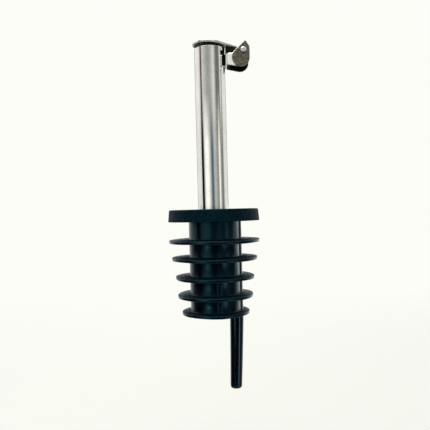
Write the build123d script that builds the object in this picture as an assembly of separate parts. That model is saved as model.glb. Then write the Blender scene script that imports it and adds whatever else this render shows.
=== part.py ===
"""Liquor pour spout with a hinged flap, a seat collar and a finned stopper.

Origin: centre of the collar's underside, on the axis of the pour tube.
+Z runs up the pour tube to its mouth, +X points to the hinge and to the vent tube.
All sizes are in millimetres.
"""

import os
from math import atan2, degrees

from build123d import *

# Fit between parts that are pushed or moulded together, and at the hinge.
ASSEMBLY_GAP = 0.01
RUNNING_GAP = 0.05
CUT_MARGIN = 1.0

# Pour tube.
TUBE_RADIUS = 4.2
TUBE_BORE = 3.8
MOUTH_Z = 47.5
TUBE_FOOT_Z = -8.5
BEAD_Z = -4.5
BEAD_HEIGHT = 0.4
BEAD_HALF_WIDTH = 0.8
LIP_ROUND = 0.15

# Collar that rests on the lip of the bottle.
COLLAR_RADIUS_TOP = 12.3
COLLAR_RADIUS_SEAT = 12.6
COLLAR_HEIGHT = 3.3
COLLAR_TOP_ROUND = 0.4
COLLAR_SEAT_ROUND = 0.12
RECESS_RADIUS = 7.65
RECESS_DEPTH = 0.5

# Finned sleeve: five fins, largest under the collar.
SLEEVE_RADIUS = 6.95
SLEEVE_FOOT_Z = -25.6
SLEEVE_FLOOR = 0.6
FIN_RADII = [12.5, 11.8, 10.85, 10.4, 9.3]
FIN_HEIGHTS = [-5.4, -10.2, -15.4, -20.4, -25.05]
FIN_THICKNESS = 0.9
FIN_RIM_ROUND = 0.25
SEAM_X = 1.15
SEAM_WIDTH = 1.0
SEAM_DEPTH = 0.12

# Core plug inside the sleeve; both reach up into the collar's recess.
CORE_RADIUS = 5.3
STOPPER_TOP_Z = RECESS_DEPTH - ASSEMBLY_GAP

# Air passage beside the bore: vent tube below, breather tube above.
VENT_X = 5.7
VENT_RADIUS_TOP = 1.79
VENT_RADIUS_TIP = 1.5
VENT_TIP_Z = -46.4
VENT_TIP_ROUND = 0.7
VENT_BORE = 0.6
SPIGOT_RADIUS = 1.0
SPIGOT_TOP_Z = -19.6
CORE_BULGE_RADIUS = 1.4
SLEEVE_BULGE_RADIUS = 1.85
BREATHER_RADIUS = 0.8
BREATHER_BORE = 0.6
BREATHER_X = TUBE_BORE - BREATHER_RADIUS - RUNNING_GAP
BREATHER_TOP_Z = 44.0
BREATHER_BEND_TOP_Z = -10.5
BREATHER_BEND_FOOT_Z = -16.0
BREATHER_BEND_RADIUS = 2.0
BREATHER_FOOT_GAP = 0.1
BREATHER_FOOT_Z = SPIGOT_TOP_Z + BREATHER_FOOT_GAP

# Hinge pin, across the tube's side.
PIN_X = 9.25
PIN_Z = 46.2
PIN_RADIUS = 0.6
PIN_HEAD_RADIUS = 0.85
PIN_HEAD_HEIGHT = 0.32

# Hinge bracket: web on the tube, two ears, and a bridge that stops the open flap.
BRACKET_HALF_WIDTH = 3.3
SHEET = 0.6
EAR_INSIDE = BRACKET_HALF_WIDTH - SHEET
WEB_X = 4.05
WEB_THICKNESS = 0.7
WEB_BEND_RADIUS = 2.1
NECK_TOP_Z = 45.5
NECK_FOOT_Z = 42.6
NECK_END_X = 6.2
EAR_FOOT_X = 8.5
EAR_FOOT_Z = 44.2
EAR_FOOT_RADIUS = 2.4
EAR_EDGE_X = EAR_FOOT_X + EAR_FOOT_RADIUS
EAR_SHOULDER_Z = 47.2
EAR_TIP_X = 9.8
EAR_TIP_Z = 48.9
EAR_TIP_ROUND = 0.3
BRIDGE_SHEET = 0.45
BRIDGE_FOOT_Z = PIN_Z - 1.2
BRIDGE_TOP_Z = PIN_Z + 2.2
EAR_SHOULDER_ROUND = 0.5
BRACKET_EDGE_ROUND = 0.2

# Flap: teardrop plate and the knuckle under its point. REST_ANGLE holds it ajar.
PLATE_RADIUS = 4.85
PLATE_THICKNESS = 0.6
PLATE_POINT_X = 7.0
PLATE_POINT_RADIUS = 0.5
PLATE_EDGE_ROUND = 0.12
SEAT_GAP = 0.03
PLATE_UNDERSIDE_Z = MOUTH_Z + SEAT_GAP
REST_ANGLE = 4.0
KNUCKLE_EYE_RADIUS = 1.1
EYE_SIDE_GAP = 0.15
KNUCKLE_EYE_HALF_WIDTH = EAR_INSIDE - EYE_SIDE_GAP
KNUCKLE_ARM_HALF_WIDTH = 1.0
KNUCKLE_ARM_X = 4.35
KNUCKLE_ARM_FOOT_Z = PIN_Z - 0.5
KNUCKLE_NOTCH_X = 6.75
KNUCKLE_NOTCH_DEPTH = 0.8


def upright_cylinder(radius, foot_z, top_z, x=0.0):
    """Cylinder along Z between two heights."""
    height = top_z - foot_z
    return Pos(x, 0, foot_z + height / 2) * Cylinder(radius, height)


def cross_cylinder(radius, half_width, x, z):
    """Cylinder along Y, centred on the plane of symmetry."""
    return Pos(x, 0, z) * Rot(90, 0, 0) * Cylinder(radius, 2 * half_width)


def cross_plate(points, half_width):
    """Solid with a polygon outline in the XZ plane, centred on the plane of symmetry."""
    outline = make_face(Polyline(*points, close=True))
    return extrude(Plane.XZ * outline, half_width, both=True)


def rounded(solid, edges, radius):
    """Solid with the given edges rounded."""
    return solid.fillet(radius, edges)


def circles_at(solid, level):
    """Circular edges of the lowest (0) or highest (-1) level of a solid."""
    return solid.edges().filter_by(GeomType.CIRCLE).group_by(Axis.Z)[level]


def breather_path():
    """Centre line of the breather tube: vent passage, bend, pour tube."""
    return FilletPolyline(
        (VENT_X, 0, BREATHER_FOOT_Z),
        (VENT_X, 0, BREATHER_BEND_FOOT_Z),
        (BREATHER_X, 0, BREATHER_BEND_TOP_Z),
        (BREATHER_X, 0, BREATHER_TOP_Z),
        radius=BREATHER_BEND_RADIUS,
    )


def breather_rod(radius):
    """Round rod that follows the breather tube's centre line."""
    path = breather_path()
    start = Plane(origin=path @ 0, z_dir=path % 0)
    return sweep(start * Circle(radius), path=path)


def tube_envelope(gap=0.0):
    """Pour tube with its bore filled; with a gap, it cuts the seat that holds the tube."""
    side = TUBE_RADIUS + gap
    outline = Polyline(
        (0, TUBE_FOOT_Z - gap),
        (side, TUBE_FOOT_Z - gap),
        (side, BEAD_Z - BEAD_HALF_WIDTH),
        (side + BEAD_HEIGHT, BEAD_Z),
        (side, BEAD_Z + BEAD_HALF_WIDTH),
        (side, MOUTH_Z),
        (0, MOUTH_Z),
        close=True,
    )
    return revolve(Plane.XZ * make_face(outline), Axis.Z)


def make_pour_tube():
    """Thin steel tube with a locking bead inside the stopper."""
    bore = upright_cylinder(TUBE_BORE, TUBE_FOOT_Z - CUT_MARGIN, MOUTH_Z + CUT_MARGIN)
    tube = (tube_envelope() - bore).solid()
    return rounded(tube, circles_at(tube, -1), LIP_ROUND)


def make_breather_tube():
    """Thin air tube along the wall of the pour tube, bent outwards at its foot."""
    return breather_rod(BREATHER_RADIUS) - breather_rod(BREATHER_BORE)


def make_stopper_collar():
    """Slightly tapered disc around the tube; a recess below centres it on the stopper."""
    taper = degrees(atan2(COLLAR_RADIUS_SEAT - COLLAR_RADIUS_TOP, COLLAR_HEIGHT))
    disc = extrude(Circle(COLLAR_RADIUS_SEAT), COLLAR_HEIGHT, taper=taper).solid()
    disc = rounded(disc, circles_at(disc, -1), COLLAR_TOP_ROUND)
    disc = rounded(disc, circles_at(disc, 0), COLLAR_SEAT_ROUND)
    hole = upright_cylinder(
        TUBE_RADIUS + ASSEMBLY_GAP, -CUT_MARGIN, COLLAR_HEIGHT + CUT_MARGIN
    )
    recess = upright_cylinder(RECESS_RADIUS, -CUT_MARGIN, RECESS_DEPTH)
    return disc - hole - recess


def make_core_plug():
    """Stiff insert with the liquid bore, the tube's seat and the air passage."""
    foot_z = SLEEVE_FOOT_Z + SLEEVE_FLOOR + ASSEMBLY_GAP
    top_z = STOPPER_TOP_Z
    core = upright_cylinder(CORE_RADIUS, foot_z, top_z)
    core += upright_cylinder(CORE_BULGE_RADIUS, foot_z, top_z, VENT_X)
    core -= upright_cylinder(TUBE_BORE, foot_z - CUT_MARGIN, top_z + CUT_MARGIN)
    core -= tube_envelope(ASSEMBLY_GAP)
    core -= upright_cylinder(
        SPIGOT_RADIUS + ASSEMBLY_GAP,
        foot_z - CUT_MARGIN,
        SPIGOT_TOP_Z + ASSEMBLY_GAP,
        VENT_X,
    )
    return core - breather_rod(BREATHER_RADIUS + ASSEMBLY_GAP)


def mould_seam():
    """Shallow upright groove that the mould leaves on the lower half of the sleeve."""
    height = FIN_HEIGHTS[2] - SLEEVE_FOOT_Z
    depth = SLEEVE_RADIUS / 2
    groove_y = -((SLEEVE_RADIUS**2 - SEAM_X**2) ** 0.5) + SEAM_DEPTH - depth / 2
    return Pos(SEAM_X, groove_y, FIN_HEIGHTS[2] - height / 2) * Box(
        SEAM_WIDTH, depth, height
    )


def make_finned_sleeve():
    """Soft sleeve with five rim-rounded fins and a bulge around the air passage."""
    foot_z = SLEEVE_FOOT_Z
    top_z = STOPPER_TOP_Z
    sleeve = upright_cylinder(SLEEVE_RADIUS, foot_z, top_z)
    sleeve += upright_cylinder(SLEEVE_BULGE_RADIUS, foot_z, top_z, VENT_X)
    sleeve -= mould_seam()
    for radius, height in zip(FIN_RADII, FIN_HEIGHTS):
        fin = Pos(0, 0, height) * Cylinder(radius, FIN_THICKNESS)
        sleeve += rounded(fin, fin.edges().filter_by(GeomType.CIRCLE), FIN_RIM_ROUND)
    floor_z = foot_z + SLEEVE_FLOOR
    sleeve -= upright_cylinder(
        CORE_RADIUS + ASSEMBLY_GAP, floor_z, top_z + CUT_MARGIN
    )
    sleeve -= upright_cylinder(
        CORE_BULGE_RADIUS + ASSEMBLY_GAP, floor_z, top_z + CUT_MARGIN, VENT_X
    )
    sleeve -= upright_cylinder(TUBE_BORE, foot_z - CUT_MARGIN, floor_z + CUT_MARGIN)
    return sleeve - upright_cylinder(
        SPIGOT_RADIUS + ASSEMBLY_GAP,
        foot_z - CUT_MARGIN,
        floor_z + CUT_MARGIN,
        VENT_X,
    )


def make_vent_tube():
    """Tapered air tube with a thinner spigot that plugs into the core."""
    shoulder_z = SLEEVE_FOOT_Z - ASSEMBLY_GAP
    length = shoulder_z - VENT_TIP_Z
    cone = Pos(VENT_X, 0, VENT_TIP_Z + length / 2) * Cone(
        VENT_RADIUS_TIP, VENT_RADIUS_TOP, length
    )
    cone = rounded(cone, circles_at(cone, 0), VENT_TIP_ROUND)
    tube = cone + upright_cylinder(SPIGOT_RADIUS, shoulder_z, SPIGOT_TOP_Z, VENT_X)
    return tube - upright_cylinder(
        VENT_BORE, VENT_TIP_Z - CUT_MARGIN, SPIGOT_TOP_Z + CUT_MARGIN, VENT_X
    )


def ear_outline():
    """Shark-fin outline of the bracket's ears, without the round foot."""
    return [
        (WEB_X, NECK_FOOT_Z),
        (EAR_FOOT_X, EAR_FOOT_Z - EAR_FOOT_RADIUS),
        (EAR_EDGE_X, EAR_FOOT_Z),
        (EAR_EDGE_X, EAR_SHOULDER_Z),
        (EAR_TIP_X, EAR_TIP_Z),
        (NECK_END_X, NECK_TOP_Z),
        (WEB_X, NECK_TOP_Z),
    ]


def bracket_inside():
    """Space between the two ears, with the web and the bridge left standing."""
    web_inside = WEB_X + WEB_THICKNESS
    bridge_inside = EAR_EDGE_X - BRIDGE_SHEET
    low = EAR_FOOT_Z - EAR_FOOT_RADIUS - CUT_MARGIN
    high = EAR_TIP_Z + CUT_MARGIN
    beyond = EAR_EDGE_X + CUT_MARGIN
    return [
        (web_inside, low),
        (beyond, low),
        (beyond, BRIDGE_FOOT_Z),
        (bridge_inside, BRIDGE_FOOT_Z),
        (bridge_inside, EAR_SHOULDER_Z - BRIDGE_SHEET / 2),
        (EAR_TIP_X - BRIDGE_SHEET / 2, BRIDGE_TOP_Z),
        (beyond, BRIDGE_TOP_Z),
        (beyond, high),
        (web_inside, high),
    ]


def bracket_channel():
    """Solid that is cut out between the ears; its upright corners follow the folds."""
    channel = cross_plate(bracket_inside(), EAR_INSIDE).solid()
    fold_edges = channel.edges().filter_by(Axis.Z).group_by(Axis.X)[0]
    return rounded(channel, fold_edges, WEB_BEND_RADIUS - SHEET)


def ear_rim_edges(bracket):
    """Outline edges of the two outer ear faces, without the line where the fold starts."""
    ears = bracket.faces().filter_by(Axis.Y)
    fold_x = WEB_X + WEB_BEND_RADIUS
    return [
        edge
        for ear in ears
        for edge in ear.edges()
        if abs(edge.center().X - fold_x) > ASSEMBLY_GAP
    ]


def make_hinge_bracket():
    """Folded bracket: saddle web, two ears, stop bridge and two pin holes."""
    body = cross_plate(ear_outline(), BRACKET_HALF_WIDTH)
    body += cross_cylinder(EAR_FOOT_RADIUS, BRACKET_HALF_WIDTH, EAR_FOOT_X, EAR_FOOT_Z)
    bracket = body.solid()
    tip_edges = bracket.edges().filter_by(Axis.Y).group_by(Axis.Z)[-1]
    bracket = rounded(bracket, tip_edges, EAR_TIP_ROUND)
    shoulder_edges = bracket.edges().filter_by(Axis.Y).sort_by(
        lambda edge: abs(edge.center().Z - EAR_SHOULDER_Z) + abs(edge.center().X - EAR_EDGE_X)
    )
    bracket = rounded(bracket, shoulder_edges[:1], EAR_SHOULDER_ROUND)
    fold_edges = bracket.edges().filter_by(Axis.Z).group_by(Axis.X)[0]
    bracket = rounded(bracket, fold_edges, WEB_BEND_RADIUS)
    bracket = rounded(bracket, ear_rim_edges(bracket), BRACKET_EDGE_ROUND)
    bracket -= bracket_channel()
    bracket -= cross_cylinder(PIN_RADIUS, BRACKET_HALF_WIDTH + CUT_MARGIN, PIN_X, PIN_Z)
    return bracket - upright_cylinder(TUBE_RADIUS + ASSEMBLY_GAP, 0, MOUTH_Z)


def make_hinge_pin():
    """Pin through both ears with a low dome at each end."""
    pin = cross_cylinder(PIN_RADIUS, BRACKET_HALF_WIDTH, PIN_X, PIN_Z)
    half_length = BRACKET_HALF_WIDTH + PIN_HEAD_HEIGHT
    heads = cross_cylinder(PIN_HEAD_RADIUS, half_length, PIN_X, PIN_Z)
    rim_edges = heads.edges().filter_by(GeomType.CIRCLE)
    heads = rounded(heads, rim_edges, PIN_HEAD_HEIGHT - ASSEMBLY_GAP)
    heads -= cross_cylinder(PIN_HEAD_RADIUS + CUT_MARGIN, BRACKET_HALF_WIDTH, PIN_X, PIN_Z)
    return pin + heads


def ajar(solid):
    """Flap part turned from its seat on the mouth to the rest position."""
    hinge = Axis((PIN_X, 0, PIN_Z), (0, 1, 0))
    return solid.rotate(hinge, REST_ANGLE)


def make_flap_plate():
    """Teardrop plate: a circle over the mouth and a small circle at the point."""
    mouth_circle = CenterArc((0, 0), PLATE_RADIUS, 0, 360)
    point_circle = CenterArc((PLATE_POINT_X, 0), PLATE_POINT_RADIUS, 0, 360)
    outline = make_hull([mouth_circle.edge(), point_circle.edge()])
    plate = extrude(Pos(0, 0, PLATE_UNDERSIDE_Z) * outline, PLATE_THICKNESS).solid()
    rims = plate.edges().group_by(Axis.Z)
    plate = rounded(plate, rims[0] + rims[-1], PLATE_EDGE_ROUND)
    return ajar(plate)


def knuckle_outline():
    """Arm of the knuckle from the plate's point down and out to the eye."""
    top_z = PLATE_UNDERSIDE_Z - ASSEMBLY_GAP
    eye_foot_z = PIN_Z - KNUCKLE_EYE_RADIUS
    return [
        (KNUCKLE_ARM_X, top_z),
        (KNUCKLE_ARM_X, KNUCKLE_ARM_FOOT_Z),
        (KNUCKLE_NOTCH_X, eye_foot_z),
        (PIN_X, eye_foot_z),
        (PIN_X, PIN_Z + KNUCKLE_EYE_RADIUS / 2),
        (KNUCKLE_NOTCH_X, top_z - KNUCKLE_NOTCH_DEPTH),
        (PLATE_POINT_X + PLATE_POINT_RADIUS / 2, top_z),
    ]


def make_flap_knuckle():
    """Arm welded under the plate's point, with an eye that turns on the pin."""
    knuckle = cross_plate(knuckle_outline(), KNUCKLE_ARM_HALF_WIDTH)
    knuckle += cross_cylinder(
        KNUCKLE_EYE_RADIUS, KNUCKLE_EYE_HALF_WIDTH, PIN_X, PIN_Z
    )
    knuckle -= cross_cylinder(
        PIN_RADIUS + RUNNING_GAP, BRACKET_HALF_WIDTH, PIN_X, PIN_Z
    )
    return ajar(knuckle)


NODES = {
    "pour_tube": make_pour_tube,
    "breather_tube": make_breather_tube,
    "stopper_collar": make_stopper_collar,
    "core_plug": make_core_plug,
    "finned_sleeve": make_finned_sleeve,
    "vent_tube": make_vent_tube,
    "hinge_bracket": make_hinge_bracket,
    "hinge_pin": make_hinge_pin,
    "flap_plate": make_flap_plate,
    "flap_knuckle": make_flap_knuckle,
}


os.makedirs("parts", exist_ok=True)
for node, make in NODES.items():
    piece = make()
    piece.label = node
    export_step(piece, f"parts/{node}.step")
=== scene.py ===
"""Looks of the liquor pour spout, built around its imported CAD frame.

Metres, +Z up the pour tube, +X to the hinge; the photograph looks along +Y.
"""

import math

import bmesh
import bpy
from mathutils import Matrix, Vector


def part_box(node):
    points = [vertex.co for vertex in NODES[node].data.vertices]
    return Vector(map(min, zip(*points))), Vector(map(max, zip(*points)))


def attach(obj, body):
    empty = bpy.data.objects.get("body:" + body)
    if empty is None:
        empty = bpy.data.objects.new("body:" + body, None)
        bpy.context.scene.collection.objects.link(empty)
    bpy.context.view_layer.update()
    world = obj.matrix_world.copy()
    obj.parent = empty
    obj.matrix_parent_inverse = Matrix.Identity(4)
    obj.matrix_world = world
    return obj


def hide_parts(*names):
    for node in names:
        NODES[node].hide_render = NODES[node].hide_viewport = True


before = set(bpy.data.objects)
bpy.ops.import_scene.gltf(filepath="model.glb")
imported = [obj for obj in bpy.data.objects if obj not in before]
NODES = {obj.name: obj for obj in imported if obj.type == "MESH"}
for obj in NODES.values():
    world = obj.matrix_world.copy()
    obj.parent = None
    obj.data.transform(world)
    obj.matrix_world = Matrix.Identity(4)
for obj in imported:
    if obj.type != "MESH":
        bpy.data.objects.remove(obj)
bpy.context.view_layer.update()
MM = 0.001

# Places taken from the frame.
SLEEVE_LOW, SLEEVE_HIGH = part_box("finned_sleeve")
VENT_LOW, VENT_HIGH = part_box("vent_tube")
BRACKET_LOW, BRACKET_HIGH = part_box("hinge_bracket")
VENT_X = (VENT_LOW.x + VENT_HIGH.x) / 2

# Steel tube: outside, wall and bore. Its box is wider, for the bead inside the stopper.
TUBE_RADIUS = 4.2 * MM
TUBE_WALL = 0.4 * MM
TUBE_BORE = TUBE_RADIUS - TUBE_WALL

# Bracket: the round foot of its ears, half the room between them, and, outwards from
# the tube, the crevice painted dark as shade, the web's inner face and the end of the
# fold's painted highlight.
BRACKET_SHEET = 0.6 * MM
EAR_FOOT_RADIUS = 2.4 * MM
EAR_FOOT_X = BRACKET_HIGH.x - EAR_FOOT_RADIUS
EAR_FOOT_Z = BRACKET_LOW.z + EAR_FOOT_RADIUS
EAR_INSIDE = BRACKET_HIGH.y - BRACKET_SHEET
# The crevice against the tube and the channel inside the web are painted dark as shade.
CREVICE_X = TUBE_RADIUS + 0.10 * MM
WEB_INSIDE_X = TUBE_RADIUS + 0.55 * MM
FOLD_HIGHLIGHT_END_X = TUBE_RADIUS + 2.50 * MM

# Sleeve: wall, fins from the top down, and the bulge beside the air passage.
WALL_RADIUS = 6.95 * MM
FINS_MM = [  # radius and height
    (12.5, -5.4),
    (11.8, -10.2),
    (10.85, -15.4),
    (10.4, -20.4),
    (9.3, -25.05),
]
FINS = [(radius * MM, height * MM) for radius, height in FINS_MM]
FIN_HALF_THICKNESS = 0.45 * MM
FIN_RIM_ROUND = 0.28 * MM
ROOT_FILLET = 0.25 * MM
SLEEVE_EDGE_ROUND = 0.08 * MM
BULGE_RADIUS = 1.85 * MM
INNER_RADIUS = 5.32 * MM
INNER_BULGE_RADIUS = 1.42 * MM
CREASE = 0.05 * MM
SLEEVE_BORE = 3.8 * MM
SLEEVE_FLOOR = 0.6 * MM
SEAM_ANGLES = (-84.7, -76.2)
SEAM_HEIGHT = 0.15 * MM
SEAM_HALF_WIDTH = 0.15 * MM
SEAM_TOP = FINS[2][1]
FIN_WAVE = 0.04 * MM
FIN_WAVES = [(3, 900, 1.0), (5, -700, 0.5)]  # waves a turn, drift with height, share
SLEEVE_STEPS = 720

# Vent tube: tapered, rounded at the tip, bent a little towards the axis.
VENT_SWELL = 0.11 * MM
VENT_RADIUS_TOP = (VENT_HIGH.x - VENT_LOW.x) / 2 + VENT_SWELL
VENT_RADIUS_TIP = 1.61 * MM
VENT_TIP_ROUND = 0.7 * MM
VENT_BORE = 0.6 * MM
VENT_BORE_ROUND = 0.08 * MM
VENT_SPIGOT_RADIUS = 1.0 * MM
VENT_SHOULDER_GAP = 0.01 * MM
VENT_BEND = 0.64 * MM
VENT_BEND_POWER = 1.2
VENT_SEAM_ANGLE = -55
VENT_SEAM_HEIGHT = 0.012 * MM
VENT_SEAM_HALF_WIDTH = 0.07 * MM
VENT_SEAM_START = 1 / 8  # share of the length over which the mould line rises
VENT_TAPER_STEPS = 24
VENT_STEPS = 240

# Camera: level with the collar, close, rolled a little.
CAMERA_DISTANCE = 147 * MM
CAMERA_SIDE = 0.38 * MM
CAMERA_HEIGHT = 2.8 * MM
CAMERA_LENS = 44.4
CAMERA_PITCH = math.radians(-0.44)
CAMERA_ROLL = math.radians(1.5)

# Studio: radiance of the room by azimuth from the camera's side, in degrees, in five
# bands from the top down, each named after the height it lies at. Seen from the camera,
# the high and middle bands are mirrored by the pour tube, and the three lower ones by
# the stopper. All were set one by one.
DARK_RED = (0.085, 0.020, 0.018, 1.0)
DARK_BLUE = (0.08, 0.17, 0.27, 1.0)
HIGH_ROOM = [
    (-180, 0.28), (-158, 0.30), (-147, 0.97), (-103, 1.05),
    (-93, 0.95), (-82, 0.60),
    (-75, DARK_RED), (-71, DARK_RED), (-64, 0.60), (-56, 0.76), (-47, 0.64), (-23, 0.42),
    (-10, 0.43), (4, 0.52), (14, 0.76), (27, 0.86), (36, 0.50), (44, 0.22), (60, 0.18),
    (72, 0.30), (80, 1.05), (87, 0.50), (94, 0.55), (104, 0.95), (147, 0.97),
    (158, 0.30), (180, 0.28),
]
MIDDLE_ROOM = [
    (-180, 0.28), (-158, 0.30), (-147, 0.95), (-103, 0.98),
    (-91, 0.92), (-86, 0.50), (-81, 0.00), (-67, 0.00), (-61, 0.60), (-53, 1.15),
    (-43, 1.40), (-30, 1.32), (-20, 0.95), (-9, 0.42), (0, DARK_BLUE), (7, DARK_BLUE),
    (14, 0.50), (24, 0.64), (38, 0.42), (50, 0.36), (56, 1.35), (62, 1.10), (69, 0.50),
    (84, 0.20), (92, 0.35), (102, 0.92), (147, 0.95), (158, 0.30), (180, 0.28),
]
LOWER_ROOM = [
    (-180, 1.10), (-130, 1.00), (-112, 0.25), (-103, 0.00), (-66, 0.00), (-58, 0.28),
    (-48, 0.48), (-34, 0.60), (-22, 0.30), (-13, 0.15), (-8, 0.00), (8, 0.02),
    (26, 0.17), (70, 0.20), (84, 0.03), (98, 0.05), (112, 0.95), (135, 1.80),
    (180, 1.10),
]
SKIRT_ROOM = [
    (-180, 1.10), (-130, 1.00), (-112, 0.25), (-103, 0.00), (-60, 0.00), (-50, 0.40),
    (-43, 2.20), (-37, 7.50), (-29, 6.80), (-22, 1.60), (-13, 0.20), (-8, 0.00),
    (8, 0.02), (24, 0.25), (32, 0.40), (42, 0.40), (50, 0.25), (70, 0.28), (84, 0.03),
    (98, 0.05), (112, 0.95), (135, 1.80), (180, 1.10),
]
FOOT_ROOM = [
    (-180, 0.30), (-160, 0.30), (-150, 1.10), (-135, 1.00), (-115, 0.15), (-100, 0.00),
    (36, 0.00), (42, 3.20), (51, 3.20), (56, 0.10), (70, 0.30), (100, 0.10), (120, 0.80),
    (150, 1.10), (160, 0.30), (180, 0.30),
]
ROOMS_UPWARDS = [  # each room blends in over this rise of the view direction
    (SKIRT_ROOM, -0.205, -0.190),
    (LOWER_ROOM, -0.160, -0.135),
    (MIDDLE_ROOM, -0.012, 0.012),
    (HIGH_ROOM, 0.12, 0.22),
]
CEILING_GLOW = (1.1, 1.1, 1.1, 1)
CEILING_RISE = (0.45, 0.75)
FLOOR_GLOW = (0.62, 0.62, 0.62, 1)
FLOOR_RISE = (-0.33, -0.50)
BACKDROP_COLOUR = (0.972, 0.980, 0.925, 1.0)
FLOOR_COLOUR = (0.485, 0.488, 0.455, 1)
FLOOR_DROP = 45 * MM
FLOOR_RADIUS = 600 * MM
FLOOR_FADE = (0.25 * FLOOR_RADIUS, 0.9 * FLOOR_RADIUS)

# Colours of the steels, from dark to light, then a painted highlight and painted shades.
TUBE_TONES = (0.64, 0.64, 0.57, 1), (0.86, 0.86, 0.80, 1)
EAR_TONES = (0.070, 0.062, 0.040, 1), (0.240, 0.218, 0.160, 1)
# Painted highlight for the bracket's fold.
FOLD_HIGHLIGHT = (0.98, 0.98, 0.95, 1)
BORE_SHADE = (0.030, 0.030, 0.026, 1)
CHANNEL_SHADE = (0.012, 0.014, 0.009, 1)
UNDERSIDE_SHADE = (0.040, 0.042, 0.034, 1)

# Tints of the sheen on the plastics, and the dust and wear on them.
COOL_SHEEN = (0.10, 0.70, 1.0, 1.0)
SLEEVE_SHEEN = (0.20, 0.76, 1.0, 1.0)
VENT_SHEEN = (0.45, 0.85, 1.0, 1.0)
DUST_COLOUR = (0.018, 0.055, 0.075, 1.0)


class Shader:
    """Adds nodes to a node tree; inputs are plain values or sockets, by name."""

    def __init__(self, tree):
        self.tree = tree
        tree.nodes.clear()

    def add(self, kind, inputs=None, **settings):
        node = self.tree.nodes.new(kind)
        for name, value in settings.items():
            setattr(node, name, value)
        for name, value in (inputs or {}).items():
            socket = node.inputs[name]
            if isinstance(value, bpy.types.NodeSocket):
                self.tree.links.new(value, socket)
            else:
                socket.default_value = value
        return node

    def maths(self, operation, first, second=0.0, third=0.0):
        return self.add(
            "ShaderNodeMath", {0: first, 1: second, 2: third}, operation=operation
        ).outputs[0]

    def spread(self, value, low, high, new_low, new_high, smooth=False):
        """Value mapped from one range to another, held at its ends."""
        return self.add(
            "ShaderNodeMapRange",
            {0: value, 1: low, 2: high, 3: new_low, 4: new_high},
            interpolation_type="SMOOTHSTEP" if smooth else "LINEAR",
        ).outputs[0]

    def ramp(self, factor, stops):
        """Colour ramp from a list of (position, grey or colour)."""
        node = self.add("ShaderNodeValToRGB", {0: factor})
        elements = node.color_ramp.elements
        while len(elements) < len(stops):
            elements.new(1.0)
        for element, (position, colour) in zip(elements, stops):
            element.position = position
            if not hasattr(colour, "__len__"):
                colour = (colour, colour, colour, 1.0)
            element.color = colour
        return node.outputs[0]

    def noise(self, scale, detail=2.0, roughness=0.5, stretch=(1, 1, 1)):
        """Noise over the object's own coordinates; scale is in blobs per metre."""
        place = self.add("ShaderNodeTexCoord").outputs["Object"]
        mapping = self.add(
            "ShaderNodeMapping", {"Vector": place, "Scale": [scale * s for s in stretch]}
        )
        return self.add(
            "ShaderNodeTexNoise",
            {"Vector": mapping.outputs[0], "Scale": 1.0, "Detail": detail,
             "Roughness": roughness},
        ).outputs["Fac"]

    def bump(self, height, distance, strength=1.0, normal=None):
        """Bump from a height of 0 to 1 that stands for a distance in metres."""
        inputs = {"Height": height, "Distance": distance, "Strength": strength}
        if normal is not None:
            inputs["Normal"] = normal
        return self.add("ShaderNodeBump", inputs).outputs[0]


# ---------------------------------------------------------------- materials


def mixed(shader, factor, first, second):
    """Colour between two colours."""
    node = shader.add("ShaderNodeMix", data_type="RGBA")
    # The colour form of this node has its factor and colours at these sockets.
    for index, value in ((0, factor), (6, first), (7, second)):
        if isinstance(value, bpy.types.NodeSocket):
            shader.tree.links.new(value, node.inputs[index])
        else:
            node.inputs[index].default_value = value
    return node.outputs[2]


def new_material(name):
    """Empty node material and its shader tree."""
    material = bpy.data.materials.new(name)
    material.use_nodes = True
    return material, Shader(material.node_tree)


def finish_material(shader, inputs):
    """Principled surface with the given inputs."""
    surface = shader.add("ShaderNodeBsdfPrincipled", inputs)
    shader.add("ShaderNodeOutputMaterial", {"Surface": surface.outputs[0]})


def axis_distance(shader):
    """Distance from the axis of the pour tube."""
    place = shader.add("ShaderNodeTexCoord").outputs["Object"]
    across, deep, _ = shader.add("ShaderNodeSeparateXYZ", {0: place}).outputs
    squares = shader.maths(
        "MULTIPLY_ADD", across, across, shader.maths("MULTIPLY", deep, deep)
    )
    return shader.maths("SQRT", squares)


def over_the_mouth(shader):
    """Where the closed flap covers the mouth of the tube."""
    return shader.spread(axis_distance(shader), 1.05 * TUBE_RADIUS, TUBE_RADIUS, 0.0, 1.0)


def everywhere(shader):
    """The whole of a part."""
    return 1.0


def polished_steel():
    """Drawn and polished tube: faint lines along Z, smudges, specks, and a bore painted
    dark as shade.
    """
    material, shader = new_material("polished_steel")
    lines = shader.noise(2600, 3, 0.6, stretch=(1, 1, 0.012))
    smudges = shader.noise(170, 4, 0.6)
    specks = shader.noise(2400, 2, 0.7)
    tone = shader.maths("MULTIPLY_ADD", specks, 0.6, shader.maths("MULTIPLY", smudges, 0.4))
    tone = shader.spread(tone, 0.35, 0.65, 0.0, 1.0)
    colour = mixed(shader, tone, *TUBE_TONES)
    # Painted shade: the inside of the bore is dark and rougher.
    bore = shader.spread(axis_distance(shader), TUBE_BORE + 0.1 * MM, TUBE_BORE, 0.0, 1.0)
    colour = mixed(shader, bore, colour, BORE_SHADE)
    rough = shader.maths(
        "ADD",
        shader.spread(smudges, 0.35, 0.7, 0.030, 0.085, True),
        shader.spread(specks, 0.62, 0.8, 0.0, 0.10),
    )
    rough = shader.maths("MULTIPLY_ADD", bore, 0.4, rough)
    normal = shader.bump(lines, 0.6e-6)
    normal = shader.bump(smudges, 6e-6, normal=normal)
    finish_material(
        shader,
        {"Base Color": colour, "Metallic": 1.0, "Roughness": rough, "Normal": normal},
    )
    return material


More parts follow.
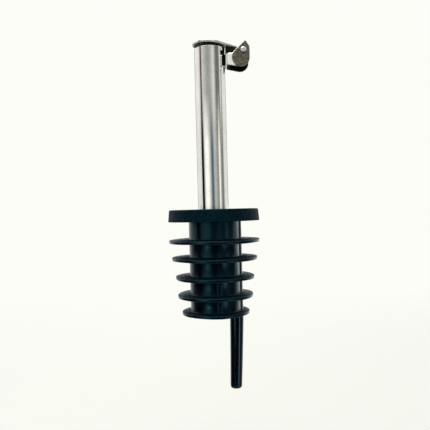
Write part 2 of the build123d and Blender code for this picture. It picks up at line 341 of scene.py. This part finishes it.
def dull_steel(name, dark, light, rough_low, rough_high, grain, stretch=(1, 1, 1),
               depth=3e-6, underside=None):
    """Dull steel: grain, blotches and brighter worn edges. Underside is a mask: where it
    is 1, faces that look down are rougher and painted dark as shade."""
    material, shader = new_material(name)
    lines = shader.noise(grain, 4, 0.65, stretch=stretch)
    blotches = shader.noise(420, 4, 0.6)
    wear = shader.add("ShaderNodeNewGeometry").outputs["Pointiness"]
    worn = shader.spread(wear, 0.52, 0.60, 0.0, 1.0, True)
    colour = mixed(shader, shader.spread(blotches, 0.3, 0.7, 0.0, 1.0), dark, light)
    colour = mixed(shader, worn, colour, [min(1.0, 1.5 * c) for c in light[:3]] + [1])
    rough = shader.spread(lines, 0.3, 0.7, rough_low, rough_high)
    if underside:
        facing = shader.add("ShaderNodeTexCoord").outputs["Normal"]
        upright = shader.add("ShaderNodeSeparateXYZ", {0: facing}).outputs["Z"]
        below = shader.spread(upright, -0.1, -0.6, 0.0, 1.0, True)
        rough = shader.maths("MULTIPLY_ADD", below, 0.25, rough)
        # Painted shade on faces that look down.
        underside_shade = shader.maths("MULTIPLY", below, underside(shader))
        colour = mixed(shader, underside_shade, colour, UNDERSIDE_SHADE)
    normal = shader.bump(lines, depth)
    normal = shader.bump(blotches, 2.5 * depth, normal=normal)
    finish_material(
        shader,
        {"Base Color": colour, "Metallic": 1.0, "Roughness": rough, "Normal": normal},
    )
    return material


def bracket_steel():
    """Taupe grained ears, a polished fold beside the tube with a painted highlight, and
    painted shade in the channel and the crevice.
    """
    material, shader = new_material("folded_bracket_steel")
    place = shader.add("ShaderNodeTexCoord").outputs["Object"]
    x, y, z = shader.add("ShaderNodeSeparateXYZ", {0: place}).outputs
    grain = shader.noise(3200, 3, 0.75)
    blotches = shader.noise(520, 4, 0.6)
    sideways = shader.maths("SUBTRACT", x, EAR_FOOT_X)
    upwards = shader.maths("SUBTRACT", z, EAR_FOOT_Z)
    away = shader.maths(
        "SQRT",
        shader.maths("MULTIPLY_ADD", sideways, sideways,
                     shader.maths("MULTIPLY", upwards, upwards)),
    )
    # Painted highlight on the fold: near white, less metallic and smoother there.
    fold_highlight = shader.maths(
        "MULTIPLY",
        shader.spread(away, 0.97 * EAR_FOOT_RADIUS, 1.06 * EAR_FOOT_RADIUS, 0, 1, True),
        shader.spread(x, FOLD_HIGHLIGHT_END_X, 1.08 * FOLD_HIGHLIGHT_END_X, 1, 0, True),
    )
    depth = shader.maths("ABSOLUTE", y)
    inside = shader.maths(
        "MULTIPLY",
        shader.spread(depth, 1.02 * EAR_INSIDE, 1.005 * EAR_INSIDE, 0, 1),
        shader.spread(x, 0.99 * WEB_INSIDE_X, WEB_INSIDE_X, 0, 1),
    )
    colour = mixed(shader, shader.spread(grain, 0.38, 0.62, 0, 1), *EAR_TONES)
    colour = mixed(shader, fold_highlight, colour, FOLD_HIGHLIGHT)
    # Painted shade in the narrow crevice against the tube and in the channel between the
    # ears.
    crevice_and_channel_shade = shader.maths(
        "MAXIMUM", inside, shader.spread(x, CREVICE_X, 1.04 * CREVICE_X, 1, 0)
    )
    colour = mixed(shader, crevice_and_channel_shade, colour, CHANNEL_SHADE)
    rough = shader.spread(grain, 0.3, 0.7, 0.34, 0.46)
    rough = shader.maths("MULTIPLY_ADD", fold_highlight, -0.14, rough)
    metallic = shader.maths("MULTIPLY_ADD", fold_highlight, -0.4, 1.0)
    normal = shader.bump(grain, 4e-6)
    normal = shader.bump(blotches, 8e-6, normal=normal)
    finish_material(
        shader,
        {"Base Color": colour, "Metallic": metallic, "Roughness": rough,
         "Normal": normal},
    )
    return material


def moulded_plastic(name, colour_low, colour_high, wall_rough, face_rough, specular,
                    tint, grain, grain_depth, wear=0.5):
    """Black moulded plastic: walls polished by the mould, flat faces duller, specks of
    dust, faint upright scuffs and paler worn ridges."""
    material, shader = new_material(name)
    cloud = shader.noise(260, 4, 0.6)
    fine = shader.noise(grain, 3, 0.7)
    dust = shader.noise(5200, 1, 0.5)
    geometry = shader.add("ShaderNodeNewGeometry")
    upright = shader.add("ShaderNodeSeparateXYZ", {0: geometry.outputs["Normal"]})
    flat = shader.spread(
        shader.maths("ABSOLUTE", upright.outputs["Z"]), 0.25, 0.8, 0.0, 1.0, True
    )
    tone = shader.maths("MULTIPLY_ADD", fine, 0.7, shader.maths("MULTIPLY", cloud, 0.3))
    colour = mixed(shader, shader.spread(tone, 0.4, 0.6, 0, 1), colour_low, colour_high)
    dusty = shader.spread(dust, 0.66, 0.74, 0.0, 0.8)
    colour = mixed(shader, dusty, colour, DUST_COLOUR)
    scuffs = shader.noise(2600, 3, 0.65, stretch=(1, 1, 0.16))
    worn = shader.spread(geometry.outputs["Pointiness"], 0.56, 0.66, 0.0, wear, True)
    worn = shader.maths("MULTIPLY", worn, shader.spread(scuffs, 0.35, 0.65, 0.2, 1.0))
    colour = mixed(shader, worn, colour, DUST_COLOUR)
    rough = shader.spread(flat, 0.0, 1.0, wall_rough, face_rough)
    rough = shader.maths("ADD", rough, shader.spread(cloud, 0.3, 0.7, -0.03, 0.05))
    rough = shader.maths("ADD", rough, shader.spread(scuffs, 0.35, 0.7, -0.03, 0.08))
    normal = shader.bump(fine, grain_depth)
    normal = shader.bump(cloud, 14e-6, normal=normal)
    finish_material(
        shader,
        {"Base Color": colour, "Roughness": rough, "Specular IOR Level": specular,
         "Specular Tint": tint, "Normal": normal},
    )
    return material


def assign(node, material):
    """Gives a carried-over CAD node its finish."""
    slots = NODES[node].data.materials
    slots.clear()
    slots.append(material)
    for polygon in NODES[node].data.polygons:
        polygon.material_index = 0


TUBE_STEEL = polished_steel()
BRACKET_STEEL = bracket_steel()
PIN_STEEL = dull_steel(
    "turned_pin_steel",
    dark=(0.72, 0.72, 0.70, 1),
    light=(0.90, 0.90, 0.88, 1),
    rough_low=0.12,
    rough_high=0.20,
    grain=2600,
    # Painted shade on every downward face of the pin and the breather tube.
    underside=everywhere,
)
FLAP_STEEL = dull_steel(
    "satin_stamped_steel",
    dark=(0.62, 0.63, 0.54, 1),
    light=(0.74, 0.75, 0.66, 1),
    rough_low=0.18,
    rough_high=0.30,
    grain=1800,
    stretch=(0.05, 1, 1),
    depth=0.6e-6,
    # Painted shade on the flap's underside over the mouth.
    underside=over_the_mouth,
)
# The knuckle's steel is painted near black as shade, where the flap's own steel is pale.
KNUCKLE_SHADE_STEEL = dull_steel(
    "knuckle_steel_painted_shade",
    dark=(0.006, 0.008, 0.004, 1),
    light=(0.015, 0.016, 0.009, 1),
    rough_low=0.30,
    rough_high=0.50,
    grain=2200,
)
COLLAR_PLASTIC = moulded_plastic(
    "matte_collar_plastic",
    colour_low=(0.0000, 0.0003, 0.0018, 1),
    colour_high=(0.0004, 0.0064, 0.0110, 1),
    wall_rough=0.60,
    face_rough=0.64,
    specular=0.15,
    tint=COOL_SHEEN,
    grain=1900,
    grain_depth=70e-6,
)
SLEEVE_PLASTIC = moulded_plastic(
    "soft_stopper_plastic",
    colour_low=(0.0002, 0.0007, 0.0022, 1),
    colour_high=(0.0004, 0.0014, 0.0034, 1),
    wall_rough=0.20,
    face_rough=0.62,
    specular=0.35,
    tint=SLEEVE_SHEEN,
    grain=3000,
    grain_depth=2.5e-6,
)
CORE_PLASTIC = moulded_plastic(
    "stiff_core_plastic",
    colour_low=(0.004, 0.006, 0.008, 1),
    colour_high=(0.008, 0.010, 0.012, 1),
    wall_rough=0.35,
    face_rough=0.45,
    specular=0.35,
    tint=COOL_SHEEN,
    grain=6000,
    grain_depth=2e-6,
)
VENT_PLASTIC = moulded_plastic(
    "vent_tube_plastic",
    colour_low=(0.0006, 0.0004, 0.0026, 1),
    colour_high=(0.0012, 0.0014, 0.0050, 1),
    wall_rough=0.11,
    face_rough=0.40,
    specular=0.45,
    tint=VENT_SHEEN,
    grain=5200,
    grain_depth=2e-6,
    wear=0.0,
)

assign("pour_tube", TUBE_STEEL)
assign("breather_tube", PIN_STEEL)
assign("stopper_collar", COLLAR_PLASTIC)
assign("core_plug", CORE_PLASTIC)
assign("hinge_bracket", BRACKET_STEEL)
assign("hinge_pin", PIN_STEEL)
assign("flap_plate", FLAP_STEEL)
assign("flap_knuckle", KNUCKLE_SHADE_STEEL)


# ------------------------------------------------------------------- pieces


def arc(centre, radius, start, end, steps=5):
    """Points of an arc in the profile plane, angles in degrees."""
    points = []
    for step in range(steps + 1):
        angle = math.radians(start + (end - start) * step / steps)
        points.append(
            (centre[0] + radius * math.cos(angle), centre[1] + radius * math.sin(angle))
        )
    return points


def edge_of_two_circles(main, bulge, angle, crease):
    """Distance from the axis to the joined outline of the wall and the bulge."""
    across = VENT_X * math.sin(angle)
    if abs(across) >= bulge or math.cos(angle) < 0:
        return main
    far = VENT_X * math.cos(angle) + math.sqrt(bulge**2 - across**2)
    blend = max(crease - abs(main - far), 0.0) / crease
    return max(main, far) + blend * blend * crease / 4


def seam_rise(angle, z):
    """Height of the two thin mould lines that run up the lower half of the wall."""
    if z > SEAM_TOP:
        return 0.0
    rise = 0.0
    for line in SEAM_ANGLES:
        off = math.remainder(angle - math.radians(line), math.tau) * WALL_RADIUS
        rise += SEAM_HEIGHT * math.exp(-((off / SEAM_HALF_WIDTH) ** 2))
    return rise


def sleeve_profile():
    """Outer profile from the foot up: (offset from the wall, radius, z); one of the
    first two is None. Wall points follow the bulge, fin points are round."""
    foot, top = SLEEVE_LOW.z, SLEEVE_HIGH.z
    profile = [
        (x, None, z)
        for x, z in arc(
            (-SLEEVE_EDGE_ROUND, foot + SLEEVE_EDGE_ROUND), SLEEVE_EDGE_ROUND, -90, 0, 2
        )
    ]
    for radius, height in reversed(FINS):
        low, high = height - FIN_HALF_THICKNESS, height + FIN_HALF_THICKNESS
        if low - ROOT_FILLET > foot:
            fillet = arc((ROOT_FILLET, low - ROOT_FILLET), ROOT_FILLET, 180, 90, 4)
            profile += [(x, None, z) for x, z in fillet]
        rim = radius - FIN_RIM_ROUND
        lower = arc((rim, low + FIN_RIM_ROUND), FIN_RIM_ROUND, -90, 0)
        upper = arc((rim, high - FIN_RIM_ROUND), FIN_RIM_ROUND, 0, 90)
        profile += [(None, x, z) for x, z in lower + upper]
        fillet = arc((ROOT_FILLET, high + ROOT_FILLET), ROOT_FILLET, 270, 180, 4)
        profile += [(x, None, z) for x, z in fillet]
    profile.append((0.0, None, top))
    return profile


def ring_of(shape, steps, radius_at, height_at, centre_x=0.0):
    """Closed ring of vertices round an upright axis."""
    ring = []
    for step in range(steps):
        angle = math.tau * step / steps
        radius = radius_at(angle)
        across, deep = radius * math.cos(angle), radius * math.sin(angle)
        ring.append(shape.verts.new((centre_x + across, deep, height_at(angle))))
    return ring


def join_rings(shape, rings):
    """Quads between each ring and the next, all the way round and back to the first."""
    for lower, upper in zip(rings, rings[1:] + rings[:1]):
        for step in range(len(lower)):
            following = (step + 1) % len(lower)
            shape.faces.new(
                (lower[step], lower[following], upper[following], upper[step])
            )


def mesh_object(name, shape, body, smooth_angle=40):
    """Object from a bmesh: outward normals, smooth shading up to an angle."""
    bmesh.ops.recalc_face_normals(shape, faces=shape.faces)
    mesh = bpy.data.meshes.new(name)
    shape.to_mesh(mesh)
    shape.free()
    mesh.shade_smooth()
    mesh.set_sharp_from_angle(angle=math.radians(smooth_angle))
    piece = bpy.data.objects.new(name, mesh)
    bpy.context.scene.collection.objects.link(piece)
    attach(piece, body)
    return piece


def make_sleeve_skin():
    """Soft sleeve: filleted fins that wave a little, a bulge, and two mould lines."""
    shape = bmesh.new()
    rings = []
    for offset, fixed, z in sleeve_profile():
        def radius_at(angle, offset=offset, fixed=fixed, z=z):
            wall = edge_of_two_circles(WALL_RADIUS, BULGE_RADIUS, angle, CREASE)
            if fixed is None:
                return wall + offset + seam_rise(angle, z)
            return max(fixed, wall)

        def height_at(angle, fixed=fixed, z=z):
            reach = 0.0 if fixed is None else 1.0
            wave = sum(
                share * math.sin(turns * angle + drift * z)
                for turns, drift, share in FIN_WAVES
            )
            return z + reach * FIN_WAVE * wave

        rings.append(ring_of(shape, SLEEVE_STEPS, radius_at, height_at))
    foot, top = SLEEVE_LOW.z, SLEEVE_HIGH.z
    floor = foot + SLEEVE_FLOOR

    def inner(angle):
        return edge_of_two_circles(INNER_RADIUS, INNER_BULGE_RADIUS, angle, CREASE)

    def bore(angle):
        return SLEEVE_BORE

    for radius_at, z in ((inner, top), (inner, floor), (bore, floor), (bore, foot)):
        rings.append(ring_of(shape, SLEEVE_STEPS, radius_at, lambda angle, z=z: z))
    join_rings(shape, rings)
    piece = mesh_object("finned_sleeve_skin", shape, "spout")
    piece.data.materials.append(SLEEVE_PLASTIC)
    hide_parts("finned_sleeve")
    return piece


def vent_profile():
    """Outside of the vent tube from the spigot's top to the tip, then up the bore."""
    shoulder = SLEEVE_LOW.z - VENT_SHOULDER_GAP
    tip = VENT_LOW.z
    corner = (VENT_RADIUS_TIP - VENT_TIP_ROUND, tip + VENT_TIP_ROUND)
    mouth = (VENT_BORE + VENT_BORE_ROUND, tip + VENT_BORE_ROUND)
    profile = [(VENT_SPIGOT_RADIUS, VENT_HIGH.z), (VENT_SPIGOT_RADIUS, shoulder)]
    profile += arc(
        (VENT_RADIUS_TOP - VENT_BORE_ROUND, shoulder - VENT_BORE_ROUND),
        VENT_BORE_ROUND, 90, 0, 3,
    )
    for step in range(1, VENT_TAPER_STEPS):
        share = step / VENT_TAPER_STEPS
        profile.append((
            VENT_RADIUS_TOP + (VENT_RADIUS_TIP - VENT_RADIUS_TOP) * share,
            shoulder + (corner[1] - shoulder) * share,
        ))
    profile += arc(corner, VENT_TIP_ROUND, 0, -90, 10)
    profile += arc(mouth, VENT_BORE_ROUND, 270, 180, 3)
    profile.append((VENT_BORE, VENT_HIGH.z))
    return profile


def make_vent_skin():
    """Soft tapered air tube, bent a little towards the axis, with a fine mould line."""
    shape = bmesh.new()
    rings = []
    length = SLEEVE_LOW.z - VENT_LOW.z
    for radius, z in vent_profile():
        below = max(SLEEVE_LOW.z - z, 0.0) / length
        ridge = 0.0
        if radius > VENT_SPIGOT_RADIUS:
            ridge = VENT_SEAM_HEIGHT * min(1.0, below / VENT_SEAM_START)

        def radius_at(angle, radius=radius, ridge=ridge):
            off = math.remainder(angle - math.radians(VENT_SEAM_ANGLE), math.tau) * radius
            return radius + ridge * math.exp(-((off / VENT_SEAM_HALF_WIDTH) ** 2))

        centre_x = VENT_X - VENT_BEND * below**VENT_BEND_POWER
        rings.append(ring_of(shape, VENT_STEPS, radius_at, lambda angle, z=z: z, centre_x))
    join_rings(shape, rings)
    piece = mesh_object("vent_tube_skin", shape, "spout")
    piece.data.materials.append(VENT_PLASTIC)
    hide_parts("vent_tube")
    return piece


make_sleeve_skin()
make_vent_skin()


# ------------------------------------------------------------------- studio


def room_ramp(shader, turn, room):
    """Radiance round the room, from a list of (azimuth in degrees, radiance)."""
    return shader.ramp(turn, [(angle / 360 + 0.5, glow) for angle, glow in room])


def make_world():
    """Room of soft light and shade round the object. The camera itself sees a plain pale
    backdrop in its place."""
    world = bpy.data.worlds.new("studio")
    bpy.context.scene.world = world
    world.use_nodes = True
    shader = Shader(world.node_tree)
    place = shader.add("ShaderNodeTexCoord").outputs["Generated"]
    way = shader.add("ShaderNodeSeparateXYZ", {0: place}).outputs
    front = shader.maths("MULTIPLY", way["Y"], -1.0)
    azimuth = shader.maths("ARCTAN2", way["X"], front)
    turn = shader.maths("MULTIPLY_ADD", azimuth, 1 / math.tau, 0.5)
    light = room_ramp(shader, turn, FOOT_ROOM)
    for room, low, high in ROOMS_UPWARDS:
        upwards = shader.spread(way["Z"], low, high, 0.0, 1.0)
        light = mixed(shader, upwards, light, room_ramp(shader, turn, room))
    ceiling = shader.spread(way["Z"], *CEILING_RISE, 0.0, 1.0, True)
    light = mixed(shader, ceiling, light, CEILING_GLOW)
    below = shader.spread(way["Z"], *FLOOR_RISE, 0.0, 1.0, True)
    light = mixed(shader, below, light, FLOOR_GLOW)
    room = shader.add("ShaderNodeBackground", {"Color": light})
    backdrop = shader.add("ShaderNodeBackground", {"Color": BACKDROP_COLOUR})
    seen = shader.add("ShaderNodeLightPath").outputs["Is Camera Ray"]
    both = shader.add(
        "ShaderNodeMixShader",
        {0: seen, 1: room.outputs[0], 2: backdrop.outputs[0]},
    )
    shader.add("ShaderNodeOutputWorld", {"Surface": both.outputs[0]})


def make_floor():
    """Pale round floor under the object that fades into the backdrop."""
    mesh = bpy.data.meshes.new("floor")
    shape = bmesh.new()
    bmesh.ops.create_circle(shape, cap_ends=True, segments=96, radius=FLOOR_RADIUS)
    shape.to_mesh(mesh)
    shape.free()
    floor = bpy.data.objects.new("floor", mesh)
    bpy.context.scene.collection.objects.link(floor)
    floor.location = (0, 0, VENT_LOW.z - FLOOR_DROP)
    floor.visible_glossy = False  # the steel and plastic mirror the room instead

    material, shader = new_material("pale_floor")
    place = shader.add("ShaderNodeTexCoord").outputs["Object"]
    length = shader.add("ShaderNodeVectorMath", {0: place}, operation="LENGTH")
    fade = shader.spread(length.outputs["Value"], *FLOOR_FADE, 0.0, 1.0, True)
    surface = shader.add(
        "ShaderNodeBsdfPrincipled",
        {"Base Color": FLOOR_COLOUR, "Roughness": 0.9, "Specular IOR Level": 0.0},
    )
    clear = shader.add("ShaderNodeBsdfTransparent")
    both = shader.add(
        "ShaderNodeMixShader", {0: fade, 1: surface.outputs[0], 2: clear.outputs[0]}
    )
    shader.add("ShaderNodeOutputMaterial", {"Surface": both.outputs[0]})
    mesh.materials.append(material)


def make_light(name, azimuth, elevation, distance, width, height, power):
    """Soft area light, placed by degrees from the camera's side and turned to face the
    origin."""
    data = bpy.data.lights.new(name, "AREA")
    data.shape = "RECTANGLE"
    data.size, data.size_y, data.energy = width, height, power
    light = bpy.data.objects.new(name, data)
    bpy.context.scene.collection.objects.link(light)
    turn, lift = math.radians(azimuth), math.radians(elevation)
    back = Vector((
        math.sin(turn) * math.cos(lift), -math.cos(turn) * math.cos(lift), math.sin(lift)
    ))
    light.location = back * distance
    light.rotation_euler = back.to_track_quat("Z", "Y").to_euler()
    light.visible_camera = False
    return light


def make_camera():
    """Camera at the photograph's viewing angle."""
    data = bpy.data.cameras.new("camera")
    data.lens = CAMERA_LENS
    data.clip_start = 0.005
    camera = bpy.data.objects.new("camera", data)
    bpy.context.scene.collection.objects.link(camera)
    camera.matrix_world = (
        Matrix.Translation((CAMERA_SIDE, -CAMERA_DISTANCE, CAMERA_HEIGHT))
        @ Matrix.Rotation(math.pi / 2 + CAMERA_PITCH, 4, "X")
        @ Matrix.Rotation(-CAMERA_ROLL, 4, "Z")
    )
    bpy.context.scene.camera = camera


make_world()
make_floor()
make_light(
    "overhead_softbox",
    azimuth=-35, elevation=68, distance=0.5, width=0.45, height=0.35, power=2.2,
)
make_light(
    "rear_softbox",
    azimuth=180, elevation=42, distance=1.0, width=1.0, height=0.6, power=9.0,
)
make_camera()
bpy.context.scene.view_settings.view_transform = "Standard"
